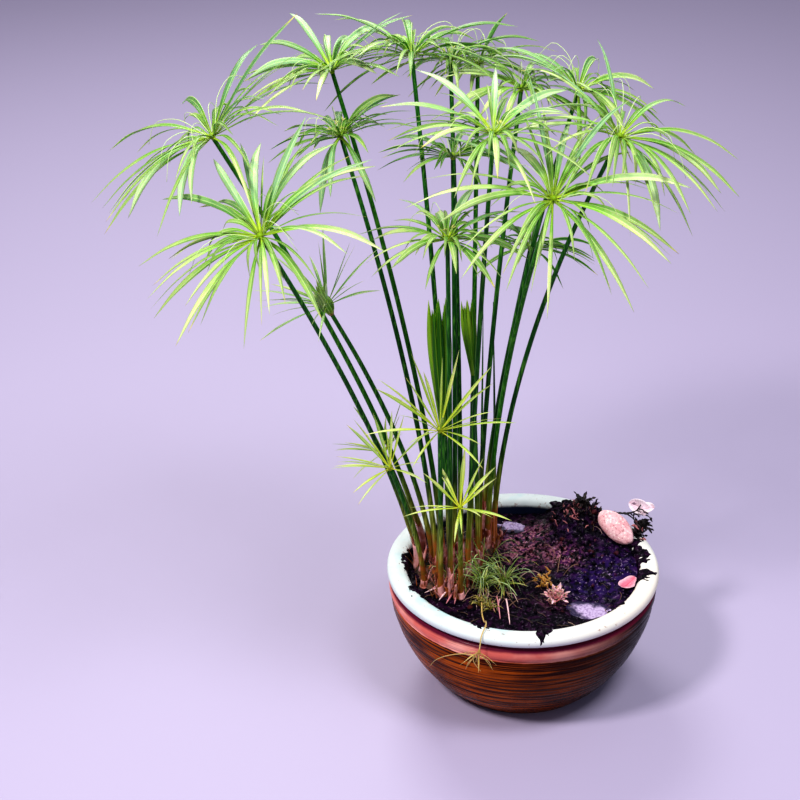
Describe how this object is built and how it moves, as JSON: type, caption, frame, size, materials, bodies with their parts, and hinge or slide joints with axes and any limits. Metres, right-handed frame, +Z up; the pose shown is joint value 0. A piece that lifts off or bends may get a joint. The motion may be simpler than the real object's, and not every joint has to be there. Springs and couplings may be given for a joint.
{
  "type": "potted umbrella sedge",
  "caption": "Umbrella sedge with leaning stems and arching bracts, growing from mud in a round glazed bowl that stands on its flat foot.",
  "frame": {"origin": "centre of the underside of the bowl's foot", "axes": "+Z up; the picture looks along +Y with +X to the right"},
  "size_m": [0.8682, 0.6223, 1.0044],
  "materials": {
    "glaze": "red-brown glossy glaze with throwing lines, a pinkish band and a worn white lip",
    "mud": "dark wet lumpy mud",
    "water": "still shallow water over dark mud",
    "root_crown": "rough brown rootstock with old sheaths",
    "stem_green": "dark green ribbed stems, reddish brown at their feet",
    "bract_green": "satin green bracts with a pale midrib",
    "young_green": "yellow-green young bracts",
    "stone": "pink speckled pebble, dull",
    "fallen_leaf": "thin pink fallen leaf",
    "litter": "dark wet plant litter and twigs",
    "withered": "dry orange-pink leaves"
  },
  "bodies": {
    "root": {"bud_21": "young_green", "bud_22": "young_green", "fallen_leaf": "fallen_leaf", "litter_tuft": "litter", "pebble": "stone", "plantlet": "young_green", "pot": "glaze", "puddle_back": "water", "puddle_front": "water", "root_crown": "root_crown", "runner": "stem_green", "seedling_1": "bract_green", "seedling_2": "bract_green", "soil": "mud", "spike_1": "stem_green", "spike_2": "stem_green", "stem_01": "stem_green", "stem_02": "stem_green", "stem_03": "stem_green", "stem_04": "stem_green", "stem_05": "stem_green", "stem_06": "stem_green", "stem_07": "stem_green", "stem_08": "stem_green", "stem_09": "stem_green", "stem_10": "stem_green", "stem_11": "stem_green", "stem_12": "stem_green", "stem_13": "stem_green", "stem_14": "stem_green", "stem_15": "stem_green", "stem_16": "stem_green", "stem_17": "stem_green", "stem_18": "stem_green", "stem_19": "stem_green", "stem_20": "stem_green", "stem_21": "stem_green", "stem_22": "stem_green", "twig": "litter", "umbrella_01": "bract_green", "umbrella_02": "bract_green", "umbrella_03": "bract_green", "umbrella_04": "bract_green", "umbrella_05": "bract_green", "umbrella_06": "bract_green", "umbrella_07": "bract_green", "umbrella_08": "bract_green", "umbrella_09": "bract_green", "umbrella_10": "bract_green", "umbrella_11": "bract_green", "umbrella_12": "bract_green", "umbrella_13": "bract_green", "umbrella_14": "bract_green", "umbrella_15": "bract_green", "umbrella_16": "young_green", "umbrella_17": "young_green", "umbrella_18": "young_green", "umbrella_19": "young_green", "umbrella_20": "young_green", "withered_sprig": "withered"}
  },
  "joints": []
}
